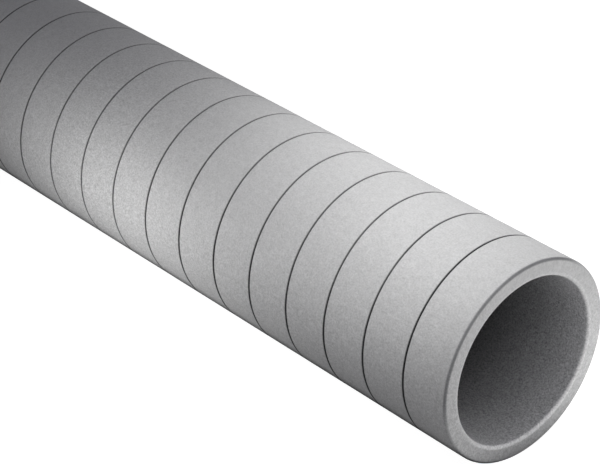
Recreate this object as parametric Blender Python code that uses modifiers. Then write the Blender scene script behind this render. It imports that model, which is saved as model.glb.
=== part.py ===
"""Insulated duct pipe: one straight length of round foam ventilation duct, lying on its side.

The pipe is a single tube of closed-cell foam with a smooth bore. Its outside is divided into
equal bands by narrow V-shaped seams that run straight round it, and both ends are cut square
with their edges rounded. Units are metres, +Z is up, +X runs along the pipe, and the origin
is on the floor under the middle of the pipe.
"""

import math

import bmesh
import bpy

# Section
BORE_RADIUS = 0.080
WALL = 0.017
OUTER_RADIUS = BORE_RADIUS + WALL

# Length, as equal bands between seams
BAND_LENGTH = 0.050
BAND_COUNT = 20
LENGTH = BAND_LENGTH * BAND_COUNT

# Seam between two bands: a V-shaped groove
SEAM_WIDTH = 0.0022
SEAM_DEPTH = 0.0020

# Rounded edges at both ends
OUTER_EDGE_RADIUS = 0.0022
BORE_EDGE_RADIUS = 0.0030
EDGE_STEPS = 3

# The turned shape has flat sides, and one of them is underneath
SIDES = 64
HALF_SIDE_ANGLE = math.pi / SIDES
AXIS_HEIGHT = OUTER_RADIUS * math.cos(HALF_SIDE_ANGLE)

MERGE_DISTANCE = 0.00001
SHARP_ANGLE = math.radians(20)

FOAM_COLOUR = (0.55, 0.55, 0.56, 1.0)
FOAM_ROUGHNESS = 0.85


def clear_scene():
    """Removes what a new Blender file holds."""
    for thing in list(bpy.data.objects):
        bpy.data.objects.remove(thing, do_unlink=True)


def foam_material():
    """Light grey closed-cell foam with a matt skin."""
    material = bpy.data.materials.new("grey_foam")
    material.use_nodes = True
    shader = material.node_tree.nodes["Principled BSDF"]
    shader.inputs["Base Color"].default_value = FOAM_COLOUR
    shader.inputs["Roughness"].default_value = FOAM_ROUGHNESS
    shader.inputs["Metallic"].default_value = 0.0
    return material


def rounded_edge(centre, radius, start_angle):
    """Points (distance from the axis, place along it) of a quarter circle that turns clockwise."""
    points = []
    for step in range(EDGE_STEPS + 1):
        angle = start_angle - math.radians(90) * step / EDGE_STEPS
        points.append((centre[0] + radius * math.cos(angle), centre[1] + radius * math.sin(angle)))
    return points


def seam_points(place):
    """The two lips and the root of one seam, met from the top of the pipe downwards."""
    half = SEAM_WIDTH / 2
    return [(OUTER_RADIUS, place + half), (OUTER_RADIUS - SEAM_DEPTH, place), (OUTER_RADIUS, place - half)]


def pipe_section():
    """The closed outline of the wall, clockwise: down the outside, then up the bore."""
    end = LENGTH / 2
    outer_centre = OUTER_RADIUS - OUTER_EDGE_RADIUS
    bore_centre = BORE_RADIUS + BORE_EDGE_RADIUS
    outline = rounded_edge((outer_centre, end - OUTER_EDGE_RADIUS), OUTER_EDGE_RADIUS, math.radians(90))
    for seam in range(1, BAND_COUNT):
        outline += seam_points(end - seam * BAND_LENGTH)
    outline += rounded_edge((outer_centre, OUTER_EDGE_RADIUS - end), OUTER_EDGE_RADIUS, 0.0)
    outline += rounded_edge((bore_centre, BORE_EDGE_RADIUS - end), BORE_EDGE_RADIUS, math.radians(-90))
    outline += rounded_edge((bore_centre, end - BORE_EDGE_RADIUS), BORE_EDGE_RADIUS, math.radians(180))
    return outline


def outline_object(name, outline, collection):
    """A loop of edges in the XZ plane, for the Screw modifier to turn."""
    shape = bmesh.new()
    corners = [shape.verts.new((across, 0.0, along)) for across, along in outline]
    for corner, following in zip(corners, corners[1:] + corners[:1]):
        shape.edges.new((corner, following))
    mesh = bpy.data.meshes.new(name)
    shape.to_mesh(mesh)
    shape.free()
    thing = bpy.data.objects.new(name, mesh)
    collection.objects.link(thing)
    return thing


def turned(thing):
    """Turns the outline right round the Z axis and keeps the result as the object's own mesh."""
    screw = thing.modifiers.new("turn", "SCREW")
    screw.axis = "Z"
    screw.angle = math.radians(360)
    screw.steps = SIDES
    screw.render_steps = SIDES
    screw.use_merge_vertices = True
    screw.merge_threshold = MERGE_DISTANCE
    bpy.context.view_layer.update()
    evaluated = thing.evaluated_get(bpy.context.evaluated_depsgraph_get())
    mesh = bpy.data.meshes.new_from_object(evaluated)
    thing.modifiers.clear()
    thing.data = mesh
    mesh.shade_smooth()
    mesh.set_sharp_from_angle(angle=SHARP_ANGLE)
    return thing


def duct_pipe(collection):
    """The whole pipe, laid along X with a flat side on the floor."""
    pipe = turned(outline_object("duct_pipe", pipe_section(), collection))
    pipe.data.materials.append(foam_material())
    pipe.rotation_mode = "ZYX"
    pipe.rotation_euler = (0.0, math.radians(90), HALF_SIDE_ANGLE)
    pipe.location = (0.0, 0.0, AXIS_HEIGHT)
    return pipe


def main():
    clear_scene()
    collection = bpy.data.collections.new("insulated_duct_pipe")
    bpy.context.scene.collection.children.link(collection)
    duct_pipe(collection)


main()
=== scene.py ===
"""Insulated duct pipe: the finish of one straight length of grey foam duct, lying on a pale floor.

The pipe is one piece. A Geometry Nodes tree turns its section round the axis, with a ring seam
between each band and the next. One foam material gives its grain and its seams, dark joints with
painted shade, and painted shade on one side of the outer edge, on the underside and in the bore,
with a painted highlight on the bore's lip.
"""

import math

import bmesh
import bpy
from mathutils import Matrix, Vector


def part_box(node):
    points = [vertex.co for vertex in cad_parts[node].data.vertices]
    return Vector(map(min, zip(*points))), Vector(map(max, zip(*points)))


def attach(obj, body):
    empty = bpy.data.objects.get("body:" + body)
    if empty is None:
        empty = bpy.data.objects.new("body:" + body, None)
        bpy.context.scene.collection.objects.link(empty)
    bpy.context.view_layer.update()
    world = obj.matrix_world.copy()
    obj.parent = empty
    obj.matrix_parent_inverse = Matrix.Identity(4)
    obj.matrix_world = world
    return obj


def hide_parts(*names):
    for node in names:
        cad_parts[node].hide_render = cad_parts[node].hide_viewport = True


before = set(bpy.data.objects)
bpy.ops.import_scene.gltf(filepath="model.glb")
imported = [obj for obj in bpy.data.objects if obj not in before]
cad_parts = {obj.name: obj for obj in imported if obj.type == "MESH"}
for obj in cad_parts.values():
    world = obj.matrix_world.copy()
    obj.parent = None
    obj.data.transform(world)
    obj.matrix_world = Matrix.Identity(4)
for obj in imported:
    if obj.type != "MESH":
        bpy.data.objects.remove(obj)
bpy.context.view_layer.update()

# Section of the pipe, in metres, as the solid has it
OUTER_RADIUS = 0.097
BORE_RADIUS = 0.080
BAND_LENGTH = 0.050
SEAM_WIDTH = 0.0022
SEAM_DEPTH = 0.0020
OUTER_EDGE = 0.0022
BORE_EDGE = 0.0030

# Place of the pipe, from the frame
LOW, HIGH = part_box("duct_pipe")
LENGTH = HIGH.x - LOW.x
AXIS_HEIGHT = (LOW.z + HIGH.z) / 2
NEAR_END = Vector((HIGH.x, 0.0, AXIS_HEIGHT))

# Fineness of the mesh
SIDES = 192
RINGS_PER_HALF_BAND = 8
LIP_RING = 2
BORE_RINGS_PER_HALF = 24
BORE_LIP_RING = 6
FACE_RINGS = 4
CROWDING = 4
MERGE_DISTANCE = 0.00001

# Foam is never quite true: its surface rises and falls this much, over waves of this length
UNEVENNESS = 0.00012
WAVE_LENGTH = 0.035
WAVE_DETAIL = 1.0

# Named inputs of the pipe's tree
PIPE_SIZES = {
    "Length": LENGTH,
    "Axis Height": AXIS_HEIGHT,
    "Outer Radius": OUTER_RADIUS,
    "Bore Radius": BORE_RADIUS,
    "Band Length": BAND_LENGTH,
    "Seam Width": SEAM_WIDTH,
    "Seam Depth": SEAM_DEPTH,
    "Outer Edge": OUTER_EDGE,
    "Bore Edge": BORE_EDGE,
    "Unevenness": UNEVENNESS,
}

# Tones of the foam. A height is a share of the radius above the axis: 1 at the top, -1 below.
# A pair of values is where something starts and where it is complete.
FOAM = (0.551, 0.550, 0.547, 1.0)

# Seams: dark joints with painted shade of the groove and its shoulders; boldest low on the sides, a little
# stronger near the ends, finer towards the middle
SEAM_JOINT_AND_SHADE = (0.030, 0.030, 0.032, 1.0)
SEAM_CORE = 0.0005
SEAM_REACH = 0.0015
SEAM_REACH_GAIN = 0.0004
SEAM_ON_TOP = 0.84
SEAM_BELOW = 1.10
SEAM_AT_END = 0.20
SEAM_HEIGHTS = (0.95, -0.20)
END_SEAMS = (0.05, 0.12)
MIDDLE_SEAMS = (0.33, 0.47)
MIDDLE_FADE = 0.65

# Outer edge: a painted shade line round the corner on one side of the pipe, with a paler gap in it
EDGE_PAINTED_SHADE = (0.170, 0.170, 0.176, 1.0)
EDGE_STRENGTH = 0.85
EDGE_CENTRE = 0.0005
EDGE_REACH = (0.0008, 0.0028)
EDGE_SIDE = math.radians(160)
EDGE_FADE = (-0.45, -0.05)
EDGE_GAP_SIDE = math.radians(208)
EDGE_GAP_FADE = (0.86, 1.00)
EDGE_GAP_DEPTH = 0.65

# Underside: painted shade, darker where the pipe lies
UNDERSIDE_PAINTED_SHADE = 0.25
UNDERSIDE_HEIGHTS = (-0.48, -0.67)
SKIN_DEPTH = 0.00055

# Bore: a painted highlight on its lip, stronger low down, and painted shade that deepens inwards over the
# darkening length
LIP_HIGHLIGHT = 0.14
LIP_HIGHLIGHT_BELOW = 0.36
LIP_INSET = 0.0008
LIP_OUTSET = 0.0016
LIP_REACH = (0.0010, 0.0028)
LIP_HEIGHTS = (-0.50, -1.00)
BORE_START = (0.0008, 0.0026)
BORE_LIP_PAINTED_SHADE = (0.483, 0.483, 0.491, 1.0)
BORE_DEEP_PAINTED_SHADE = (0.065, 0.065, 0.068, 1.0)
BORE_DARKENING = 0.140

# Grain of the cells, mottle of the skin and large soft clouds: size, detail and depth of tone
GRAIN_SIZE = 0.0016
GRAIN_DETAIL = 3.0
GRAIN_DEPTH = 0.62
MOTTLE_SIZE = 0.006
MOTTLE_DETAIL = 2.0
MOTTLE_DEPTH = 0.19
CLOUD_SIZE = 0.060
CLOUD_DETAIL = 2.0
CLOUD_DEPTH = 0.07

# The grain shows more low on the sides and towards the middle, and most in the bore
GRAIN_ON_TOP = 0.78
GRAIN_GAIN = 0.74
MIDDLE_GRAIN = (0.30, 0.55)
BORE_GRAIN_DEPTH = 1.85

# Surface
FOAM_ROUGHNESS = 0.88
GRAIN_ROUGHNESS = 0.15
FOAM_SPECULAR = 0.25
GRAIN_RELIEF = 0.6
RELIEF_STRENGTH = 0.6
RELIEF_DEPTH = 0.0010

# Floor, just under the pipe: mostly its own pale glow, and a little of what the lights throw on it
FLOOR_HEIGHT = AXIS_HEIGHT - OUTER_RADIUS - UNEVENNESS
FLOOR_SIZE = 12.0
FLOOR_COLOUR = (0.30, 0.30, 0.30, 1.0)
FLOOR_GLOW = 0.97
WHITE = (1.0, 1.0, 1.0, 1.0)

# Soft lights: name, place, point it aims at, side of its square, power in watts
LIGHTS = [
    ("overhead_light", (0.361, -0.167, 0.334), (0.16, 0.0, 0.097), 0.31, 0.413),
    ("side_light", (0.073, -0.274, 0.104), (0.11, 0.0, 0.097), 0.20, 0.323),
    ("low_far_light", (-0.140, -0.360, 0.060), (-0.10, 0.0, 0.097), 0.15, 0.050),
    ("low_near_light", (0.560, -0.340, 0.030), (0.44, 0.0, 0.097), 0.12, 0.027),
    ("far_top_light", (0.238, 0.209, 0.475), (0.59, 0.0, 0.097), 0.14, 1.005),
    ("end_light", (0.711, -0.059, 0.335), (-0.03, 0.0, 0.097), 0.30, 0.255),
    ("rim_light", (0.580, -0.050, 0.420), (0.50, 0.0, 0.097), 0.15, 0.120),
    ("right_light", (0.700, 0.250, 0.160), (0.45, 0.0, 0.097), 0.15, 0.112),
    ("front_bounce_light", (1.000, 0.000, 0.004), (1.00, 0.0, 1.0), 0.90, 0.843),
    ("near_bounce_light", (0.660, 0.000, 0.004), (0.66, 0.0, 1.0), 0.24, 0.087),
    ("right_bounce_light", (0.660, 0.160, 0.004), (0.66, 0.16, 1.0), 0.24, 0.361),
    ("back_light", (0.100, 1.300, 0.250), (0.10, 0.0, 0.097), 1.00, 3.600),
]
AMBIENT = 0.188
AMBIENT_COLOUR = (0.986, 0.985, 1.070, 1.0)
BACKDROP = 1.0

# Camera, by where the photo shows the pipe's near end
PHOTO_WIDTH = 600
FOCAL_PIXELS = 2310.5
SENSOR_WIDTH = 36.0
CAMERA_AZIMUTH = math.radians(48.345)
CAMERA_ELEVATION = math.radians(30.585)
END_DISTANCE = 1.9774
END_RIGHT = 0.1915
END_DOWN = 0.1107
END_INSET = 0.00157


class Number:
    """A number in a node tree. Arithmetic on it adds Math nodes, so that a rule reads as a formula."""

    def __init__(self, tree, socket):
        self.tree = tree
        self.socket = socket

    def operate(self, operation, *values):
        return self.tree.number("ShaderNodeMath", {"operation": operation}, dict(enumerate(values)))

    def __add__(self, other):
        return self.operate("ADD", self, other)

    def __radd__(self, other):
        return self.operate("ADD", other, self)

    def __sub__(self, other):
        return self.operate("SUBTRACT", self, other)

    def __rsub__(self, other):
        return self.operate("SUBTRACT", other, self)

    def __mul__(self, other):
        return self.operate("MULTIPLY", self, other)

    def __rmul__(self, other):
        return self.operate("MULTIPLY", other, self)

    def __truediv__(self, other):
        return self.operate("DIVIDE", self, other)

    def __pow__(self, other):
        return self.operate("POWER", self, other)

    def __abs__(self):
        return self.operate("ABSOLUTE", self)

    def __gt__(self, other):
        return self.operate("GREATER_THAN", self, other)

    def __lt__(self, other):
        return self.operate("LESS_THAN", self, other)

    def root(self):
        return self.operate("SQRT", self)

    def whole(self):
        return self.operate("ROUND", self)

    def sign(self):
        return self.operate("SIGN", self)

    def at_least(self, other):
        return self.operate("MAXIMUM", self, other)

    def rise(self, start, end):
        """0 up to start, 1 past end, and a smooth step between."""
        ends = {"Value": self, "From Min": start, "From Max": end}
        return self.tree.number("ShaderNodeMapRange", {"interpolation_type": "SMOOTHSTEP"}, ends)


class Tree:
    """A node tree, to which every node is added in one way."""

    def __init__(self, node_tree):
        self.node_tree = node_tree

    def add(self, kind, settings=None, sockets=None):
        """A node of that kind: its settings first, then a value or a link for each socket given."""
        node = self.node_tree.nodes.new(kind)
        for name, value in (settings or {}).items():
            setattr(node, name, value)
        for key, value in (sockets or {}).items():
            self.feed(node.inputs[key], value)
        return node

    def feed(self, socket, value):
        """Give a socket a value, or a link to a number or another socket."""
        if isinstance(value, Number):
            value = value.socket
        if isinstance(value, bpy.types.NodeSocket):
            self.node_tree.links.new(value, socket)
        else:
            socket.default_value = value

    def number(self, kind, settings=None, sockets=None):
        """The number that comes out of a new node."""
        return Number(self, self.add(kind, settings, sockets).outputs[0])

    def seen(self):
        """1 where the camera looks straight at the thing, 0 where its light reaches something else."""
        return self.number("ShaderNodeLightPath")

    def parts(self, vector):
        """The three numbers of a vector."""
        split = self.add("ShaderNodeSeparateXYZ", sockets={0: vector})
        return [Number(self, socket) for socket in split.outputs]

    def vector(self, x, y, z):
        return self.add("ShaderNodeCombineXYZ", sockets={0: x, 1: y, 2: z}).outputs[0]

    def noise(self, place, size, detail):
        """Smooth noise, from -0.5 to 0.5, with grains of that size in metres."""
        sockets = {"Vector": place, "Scale": 1.0 / size, "Detail": detail}
        return self.number("ShaderNodeTexNoise", {"noise_dimensions": "3D"}, sockets) - 0.5

    def blend(self, factor, colour, other):
        """One colour where the factor is 0, the other where it is 1."""
        sockets = {0: factor, 6: colour, 7: other}
        return self.add("ShaderNodeMix", {"data_type": "RGBA"}, sockets).outputs[2]

    def scaled(self, colour, factor):
        """A colour made lighter or darker by a factor."""
        sockets = {0: colour, "Scale": factor}
        return self.add("ShaderNodeVectorMath", {"operation": "SCALE"}, sockets).outputs[0]


def distance(one, other):
    """The length of a step that is so far one way and so far the other."""
    return (one * one + other * other).root()


def added(name, data):
    """A new object, in the scene."""
    thing = bpy.data.objects.new(name, data)
    bpy.context.scene.collection.objects.link(thing)
    return thing


def edge_drop(from_end, edge):
    """How far a rounded edge falls back from its surface, at a distance from the pipe's end."""
    reach = (1.0 - from_end / edge).at_least(0.0)
    return edge * (1.0 - (1.0 - reach * reach).at_least(0.0).root())


def crowd(share, near, far):
    """A distance that grows slowly at first, so that rings crowd where the shape is fine."""
    return share * near + share**CROWDING * (far - near)


def first_step(share, place, far):
    """The near distance of crowd that puts the ring of that share at that place."""
    tail = share**CROWDING
    return (place - far * tail) / (share - tail)


def skin_section(size):
    """The outside: rings crowd near each seam and each end. Returns (ring count, rule)."""
    half_band = size["Band Length"] / 2
    half_seam = size["Seam Width"] / 2
    near = first_step(LIP_RING / RINGS_PER_HALF_BAND, half_seam, half_band)
    bands = (size["Length"] / size["Band Length"]).whole()
    rings_per_band = 2 * RINGS_PER_HALF_BAND

    def rule(ring):
        place = ring / rings_per_band
        seam = place.whole()
        offset = place - seam
        from_seam = crowd(abs(offset) * 2, near, half_band)
        along = (seam - bands / 2) * size["Band Length"] + offset.sign() * from_seam
        between_bands = (seam > 0.5) * (seam < bands - 0.5)
        groove = (1.0 - from_seam / half_seam).at_least(0.0)
        from_end = size["Length"] / 2 - abs(along)
        radius = size["Outer Radius"] - edge_drop(from_end, size["Outer Edge"])
        return along, radius - groove * size["Seam Depth"] * between_bands

    return bands * rings_per_band, rule


def bore_section(size):
    """The bore: rings crowd near each end, and one stands where its rounded edge ends."""
    half_length = size["Length"] / 2
    near = first_step(BORE_LIP_RING / BORE_RINGS_PER_HALF, size["Bore Edge"], half_length)

    def rule(ring):
        share = ring / BORE_RINGS_PER_HALF - 1.0
        from_end = crowd(1.0 - abs(share), near, half_length)
        along = share.sign() * (half_length - from_end)
        return along, size["Bore Radius"] + edge_drop(from_end, size["Bore Edge"])

    return 2 * BORE_RINGS_PER_HALF, rule


def face_section(size, side):
    """The flat ring at one end, between the two rounded edges."""
    outer = size["Outer Radius"] - size["Outer Edge"]
    inner = size["Bore Radius"] + size["Bore Edge"]

    def rule(ring):
        return size["Length"] * (side / 2), inner + (outer - inner) * ring / FACE_RINGS

    return FACE_RINGS, rule


def turned_wall(tree, size, rings, rule):
    """A tube one unit wide, one unit a ring, whose rings go where the rule says."""
    tube = tree.add(
        "GeometryNodeMeshCylinder",
        {"fill_type": "NONE"},
        {"Vertices": SIDES, "Side Segments": rings, "Radius": 1.0, "Depth": rings},
    )
    up, across, level = tree.parts(tree.add("GeometryNodeInputPosition").outputs[0])
    along, radius = rule((level + rings * 0.5).whole())
    smooth = tree.vector(along, across * radius, up * radius)
    wave = tree.noise(smooth, WAVE_LENGTH, WAVE_DETAIL) * size["Unevenness"] * 2
    uneven = radius + wave
    place = tree.vector(along, across * uneven, up * uneven + size["Axis Height"])
    moved = tree.add("GeometryNodeSetPosition", sockets={"Geometry": tube.outputs[0], "Position": place})
    return moved.outputs[0]


def pipe_tree(material):
    """The Geometry Nodes tree of the whole pipe, with its sizes as named inputs."""
    group = bpy.data.node_groups.new("banded_pipe", "GeometryNodeTree")
    group.interface.new_socket("Geometry", in_out="OUTPUT", socket_type="NodeSocketGeometry")
    for name in PIPE_SIZES:
        group.interface.new_socket(name, in_out="INPUT", socket_type="NodeSocketFloat")
    tree = Tree(group)
    given = tree.add("NodeGroupInput")
    size = {name: Number(tree, given.outputs[name]) for name in PIPE_SIZES}
    sections = [skin_section(size), bore_section(size), face_section(size, 1), face_section(size, -1)]
    joined = tree.add("GeometryNodeJoinGeometry")
    for rings, rule in sections:
        tree.feed(joined.inputs[0], turned_wall(tree, size, rings, rule))
    merging = {"Geometry": joined.outputs[0], "Distance": MERGE_DISTANCE}
    merged = tree.add("GeometryNodeMergeByDistance", sockets=merging)
    smooth = tree.add("GeometryNodeSetShadeSmooth", sockets={"Geometry": merged.outputs[0]})
    real = tree.add("GeometryNodeRealizeInstances", sockets={"Geometry": smooth.outputs[0]})
    painting = {"Geometry": real.outputs[0], "Material": material}
    painted = tree.add("GeometryNodeSetMaterial", sockets=painting)
    tree.add("NodeGroupOutput", sockets={"Geometry": painted.outputs[0]})
    return group


def foam_pipe(material):
    """The pipe as a plain closed mesh, made by the tree."""
    pipe = added("foam_pipe", bpy.data.meshes.new("foam_pipe"))
    group = pipe_tree(material)
    modifier = pipe.modifiers.new("banded_pipe", "NODES")
    modifier.node_group = group
    for item in group.interface.items_tree:
        if item.in_out == "INPUT":
            modifier[item.identifier] = PIPE_SIZES[item.name]
    evaluated = pipe.evaluated_get(bpy.context.evaluated_depsgraph_get())
    mesh = bpy.data.meshes.new_from_object(evaluated)
    pipe.modifiers.clear()
    pipe.data = mesh
    shape = bmesh.new()
    shape.from_mesh(mesh)
    bmesh.ops.recalc_face_normals(shape, faces=shape.faces)
    shape.to_mesh(mesh)
    shape.free()
    return pipe


class FoamPlace:
    """Where a point of the foam lies on the pipe, in the numbers of its material's tree."""

    def __init__(self, tree):
        self.tree = tree
        self.point = tree.add("ShaderNodeTexCoord").outputs["Object"]
        self.along, self.across, height = tree.parts(self.point)
        self.up = height - AXIS_HEIGHT
        self.radius = distance(self.across, self.up)
        self.from_end = LENGTH / 2 - abs(self.along)
        self.below = (self.up / OUTER_RADIUS).rise(*SEAM_HEIGHTS)
        self.inside = (self.radius < BORE_RADIUS + BORE_EDGE / 2) * self.from_end.rise(*BORE_START)

    def side_share(self, side):
        """1 on the outside towards that side, 0 a quarter turn away and -1 opposite. 0 degrees is +Y."""
        return (self.across * math.cos(side) + self.up * math.sin(side)) / OUTER_RADIUS


def with_painted_bore_shade(at, foam):
    """The foam's colour, with painted shade in the bore, darkest deep inside."""
    near_lip = (1.0 - at.from_end / BORE_DARKENING).at_least(0.0)
    bore = at.tree.blend(near_lip, BORE_DEEP_PAINTED_SHADE, BORE_LIP_PAINTED_SHADE)
    return at.tree.blend(at.inside, foam, bore)


def with_painted_edge_shade(at, foam):
    """The foam's colour, with a painted shade line round the outer edge, on one side of the pipe."""
    from_corner = distance(at.from_end, OUTER_RADIUS - at.radius - EDGE_CENTRE)
    line = 1.0 - from_corner.rise(*EDGE_REACH)
    shaded_side = at.side_share(EDGE_SIDE).rise(*EDGE_FADE)
    gap = at.side_share(EDGE_GAP_SIDE).rise(*EDGE_GAP_FADE) * EDGE_GAP_DEPTH
    return at.tree.blend(line * shaded_side * (1.0 - gap) * EDGE_STRENGTH, foam, EDGE_PAINTED_SHADE)


def with_seams(at, foam):
    """The foam's colour, with the dark seams between the bands: dark joints with painted shade of the groove
    and its shoulders.
    """
    band = at.along / BAND_LENGTH
    from_seam = abs(band - band.whole()) * BAND_LENGTH
    bold = at.below * (1.0 - at.from_end.rise(*MIDDLE_SEAMS) * MIDDLE_FADE)
    shade = 1.0 - from_seam.rise(SEAM_CORE, SEAM_REACH + bold * SEAM_REACH_GAIN)
    outside = at.radius.rise(BORE_RADIUS + BORE_EDGE, OUTER_RADIUS - OUTER_EDGE)
    between_bands = at.from_end > BAND_LENGTH / 2
    at_end = (1.0 - at.from_end.rise(*END_SEAMS)) * (1.0 - at.below)
    strength = SEAM_ON_TOP + bold * (SEAM_BELOW - SEAM_ON_TOP) + at_end * SEAM_AT_END
    return at.tree.blend(shade * outside * between_bands * strength, foam, SEAM_JOINT_AND_SHADE)


def painted_shade_and_highlight(at):
    """How much lighter or darker the foam is by its place: painted shade on the underside and a painted
    highlight on the bore's lip.
    """
    skin = at.radius.rise(OUTER_RADIUS - OUTER_EDGE, OUTER_RADIUS - SKIN_DEPTH)
    # Painted shade on the underside of the outer skin
    underside = (at.up / OUTER_RADIUS).rise(*UNDERSIDE_HEIGHTS) * skin
    # Painted highlight on the bore's lip, stronger low down
    from_lip = distance(at.from_end - LIP_INSET, at.radius - BORE_RADIUS - LIP_OUTSET)
    lip = 1.0 - from_lip.rise(*LIP_REACH)
    lip_highlight = (at.up / BORE_RADIUS).rise(*LIP_HEIGHTS) * LIP_HIGHLIGHT_BELOW + LIP_HIGHLIGHT
    return (1.0 - underside * (1.0 - UNDERSIDE_PAINTED_SHADE)) * (1.0 + lip * lip_highlight)


def foam_material():
    """Grey closed-cell foam: fine grain, dark seams with painted shade, and painted shade on an outer edge,
    the underside and the bore, with a painted highlight on the bore's lip.
    """
    material = bpy.data.materials.new("grey_foam")
    material.use_nodes = True
    tree = Tree(material.node_tree)
    shader = material.node_tree.nodes["Principled BSDF"]
    at = FoamPlace(tree)
    foam = with_seams(at, with_painted_edge_shade(at, with_painted_bore_shade(at, FOAM)))

    grain = tree.noise(at.point, GRAIN_SIZE, GRAIN_DETAIL)
    mottle = tree.noise(at.point, MOTTLE_SIZE, MOTTLE_DETAIL)
    cloud = tree.noise(at.point, CLOUD_SIZE, CLOUD_DETAIL)
    coarseness = GRAIN_ON_TOP + (at.below + at.from_end.rise(*MIDDLE_GRAIN)) * GRAIN_GAIN
    speckle = grain * (coarseness * GRAIN_DEPTH * (1.0 - at.inside) + at.inside * BORE_GRAIN_DEPTH)
    # The tone by place brings the painted shade of the underside and the painted highlight of the lip
    tone = (1.0 + speckle + mottle * MOTTLE_DEPTH + cloud * CLOUD_DEPTH) * painted_shade_and_highlight(at)
    tree.feed(shader.inputs["Base Color"], tree.scaled(foam, tone))

    tree.feed(shader.inputs["Roughness"], FOAM_ROUGHNESS + grain * GRAIN_ROUGHNESS)
    shader.inputs["Specular IOR Level"].default_value = FOAM_SPECULAR
    relief = {"Strength": RELIEF_STRENGTH, "Distance": RELIEF_DEPTH, "Height": grain * GRAIN_RELIEF + mottle}
    tree.feed(shader.inputs["Normal"], tree.add("ShaderNodeBump", sockets=relief).outputs[0])
    return material


def floor():
    """A plain pale floor, whose glow is there for the camera alone and doesn't light the pipe."""
    shape = bmesh.new()
    bmesh.ops.create_grid(shape, x_segments=1, y_segments=1, size=FLOOR_SIZE / 2)
    mesh = bpy.data.meshes.new("floor")
    shape.to_mesh(mesh)
    shape.free()
    mesh.transform(Matrix.Translation((0.0, 0.0, FLOOR_HEIGHT)))
    material = bpy.data.materials.new("pale_floor")
    material.use_nodes = True
    shader = material.node_tree.nodes["Principled BSDF"]
    shader.inputs["Base Color"].default_value = FLOOR_COLOUR
    shader.inputs["Roughness"].default_value = 1.0
    shader.inputs["Specular IOR Level"].default_value = 0.0
    shader.inputs["Emission Color"].default_value = WHITE
    tree = Tree(material.node_tree)
    tree.feed(shader.inputs["Emission Strength"], tree.seen() * FLOOR_GLOW)
    mesh.materials.append(material)
    return added("floor", mesh)


def soft_light(name, place, aim, side, power):
    """A square studio light, which the camera doesn't see."""
    data = bpy.data.lights.new(name, "AREA")
    data.shape = "SQUARE"
    data.size = side
    data.energy = power
    light = added(name, data)
    light.location = place
    towards = Vector(aim) - Vector(place)
    light.rotation_euler = towards.to_track_quat("-Z", "Y").to_euler()
    light.visible_camera = False


def surroundings():
    """Low even light from all round, and a pale backdrop where the camera sees past the floor."""
    world = bpy.data.worlds.new("studio")
    world.use_nodes = True
    bpy.context.scene.world = world
    tree = Tree(world.node_tree)
    background = world.node_tree.nodes["Background"]
    seen = tree.seen()
    tree.feed(background.inputs["Color"], tree.blend(seen, AMBIENT_COLOUR, WHITE))
    tree.feed(background.inputs["Strength"], AMBIENT + seen * (BACKDROP - AMBIENT))


def camera():
    """Stands where the photo's camera stood, and is turned and tilted as that one was."""
    right = Vector((math.cos(CAMERA_AZIMUTH), math.sin(CAMERA_AZIMUTH), 0.0))
    level = Vector((-math.sin(CAMERA_AZIMUTH), math.cos(CAMERA_AZIMUTH), 0.0))
    forward = level * math.cos(CAMERA_ELEVATION) - Vector((0, 0, 1)) * math.sin(CAMERA_ELEVATION)
    up = right.cross(forward)
    target = NEAR_END - Vector((END_INSET, 0, 0)) - right * END_RIGHT + up * END_DOWN
    data = bpy.data.cameras.new("camera")
    data.sensor_width = SENSOR_WIDTH
    data.lens = FOCAL_PIXELS * SENSOR_WIDTH / PHOTO_WIDTH
    eye = added("camera", data)
    eye.location = target - forward * END_DISTANCE
    eye.rotation_euler = forward.to_track_quat("-Z", "Y").to_euler()
    bpy.context.scene.camera = eye


pipe = foam_pipe(foam_material())
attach(pipe, "root")
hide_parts("duct_pipe")
floor()
for light in LIGHTS:
    soft_light(*light)
surroundings()
camera()
bpy.context.scene.view_settings.view_transform = "Standard"
